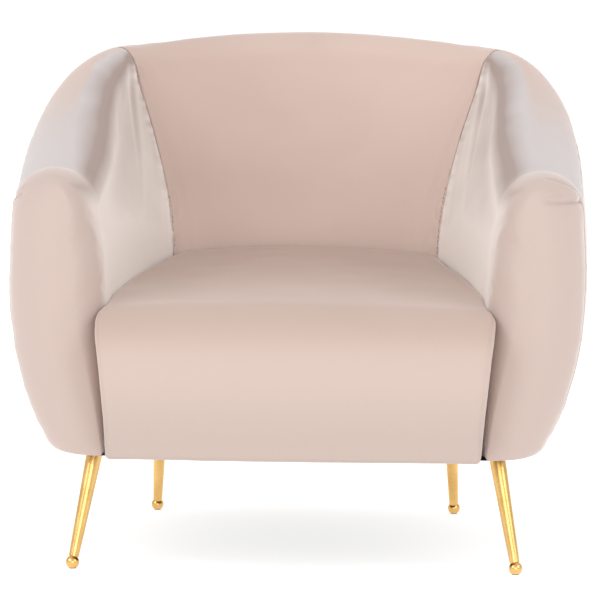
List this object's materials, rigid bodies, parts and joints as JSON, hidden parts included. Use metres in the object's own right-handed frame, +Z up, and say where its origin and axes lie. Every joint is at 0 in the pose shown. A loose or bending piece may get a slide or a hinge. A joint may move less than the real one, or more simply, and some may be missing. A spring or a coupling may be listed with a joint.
{
  "type": "upholstered armchair",
  "caption": "Tub armchair with a horseshoe velvet shell, sloping rounded arms, a tight waterfall seat and slim splayed brass-tone legs with ball feet.",
  "frame": {"origin": "on the floor, under the middle of the chair's bounding box", "axes": "+Z up, +X towards the sitter's left arm as seen from the front on the right, the seat faces -Y"},
  "size_m": [0.8846, 0.774, 0.8],
  "materials": {
    "velvet": "blush velvet",
    "foam": "polyurethane foam",
    "wadding": "polyester wadding",
    "felt": "needled felt",
    "dust_cloth": "black non-woven cloth",
    "webbing": "woven elastic webbing",
    "wood": "sawn hardwood",
    "plywood": "birch plywood",
    "spring_steel": "bare spring wire",
    "clip_steel": "zinc-plated clips",
    "plate_steel": "black-coated mounting plates",
    "screw_steel": "zinc-plated screws",
    "brass": "polished brass tone",
    "glide_plastic": "plastic glides"
  },
  "bodies": {
    "root": {"arm_foam_left": "foam", "arm_foam_right": "foam", "arm_post_left": "plywood", "arm_post_right": "plywood", "back_foam": "foam", "back_webbing": "webbing", "ball_foot_front_left": "brass", "ball_foot_front_right": "brass", "ball_foot_rear_left": "brass", "ball_foot_rear_right": "brass", "base_plate_back": "plywood", "base_plate_left": "plywood", "base_plate_right": "plywood", "corner_block_front_left": "wood", "corner_block_front_right": "wood", "corner_block_rear_left": "wood", "corner_block_rear_right": "wood", "dust_cover": "dust_cloth", "foot_glides": "glide_plastic", "front_rail": "wood", "inside_arm_cover_left": "velvet", "inside_arm_cover_right": "velvet", "inside_back_cover": "velvet", "leg_front_left": "brass", "leg_front_right": "brass", "leg_plates": "plate_steel", "leg_rear_left": "brass", "leg_rear_right": "brass", "leg_screws": "screw_steel", "outside_arm_cover_left": "velvet", "outside_arm_cover_right": "velvet", "outside_arm_wadding_left": "wadding", "outside_arm_wadding_right": "wadding", "outside_back_cover": "velvet", "outside_back_wadding": "wadding", "rear_rail": "wood", "rib_arm_left": "plywood", "rib_arm_right": "plywood", "rib_back_centre": "plywood", "rib_back_side_left": "plywood", "rib_back_side_right": "plywood", "rib_corner_left": "plywood", "rib_corner_right": "plywood", "seat_cover": "velvet", "seat_felt": "felt", "seat_foam": "foam", "side_rail_left": "wood", "side_rail_right": "wood", "spring_clips": "clip_steel", "tack_rail_back": "plywood", "tack_rail_left": "plywood", "tack_rail_right": "plywood", "top_rail_back": "plywood", "top_rail_left": "plywood", "top_rail_right": "plywood", "zigzag_springs": "spring_steel"}
  },
  "joints": []
}
